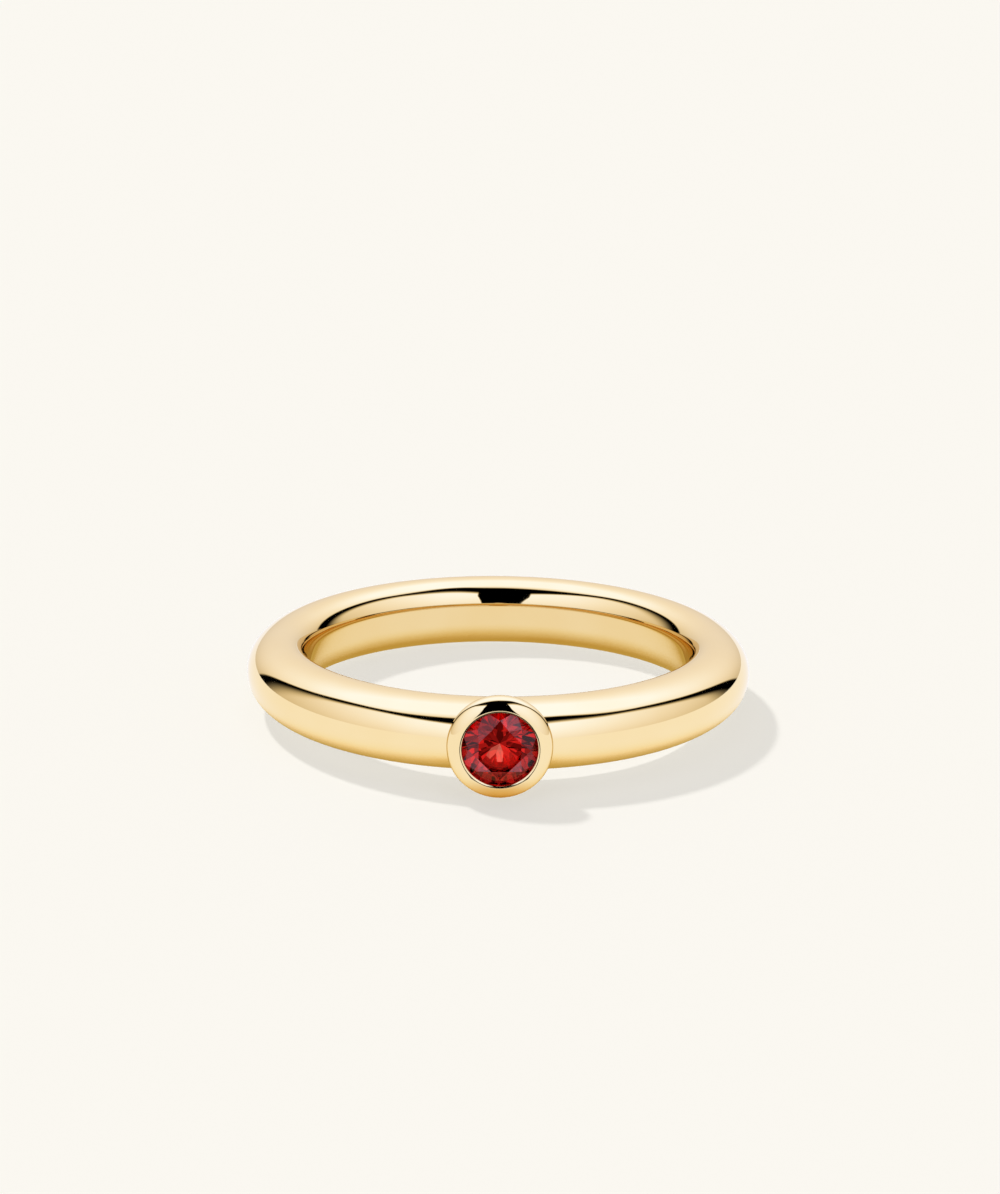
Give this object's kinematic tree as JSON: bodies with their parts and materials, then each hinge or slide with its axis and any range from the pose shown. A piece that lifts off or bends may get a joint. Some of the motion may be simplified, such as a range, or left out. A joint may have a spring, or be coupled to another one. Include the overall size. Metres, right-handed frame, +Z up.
{
  "type": "gemstone stacking ring",
  "caption": "Narrow polished gold-coloured finger ring with a soft D-shaped band and a round faceted dark red stone in a smooth bezel, lying on its side.",
  "frame": {"origin": "on the surface the ring lies on, under the middle of its outline", "axes": "+Z up from the surface, close to the axis of the finger hole; -Y towards the stone; +X across the ring"},
  "size_m": [0.0228, 0.0238, 0.0046],
  "materials": {
    "polished_gold": "mirror-polished gold plating over silver",
    "red_stone": "clear deep red faceted stone, polished"
  },
  "bodies": {
    "root": {"band_and_bezel": "polished_gold", "gemstone": "red_stone"}
  },
  "joints": []
}
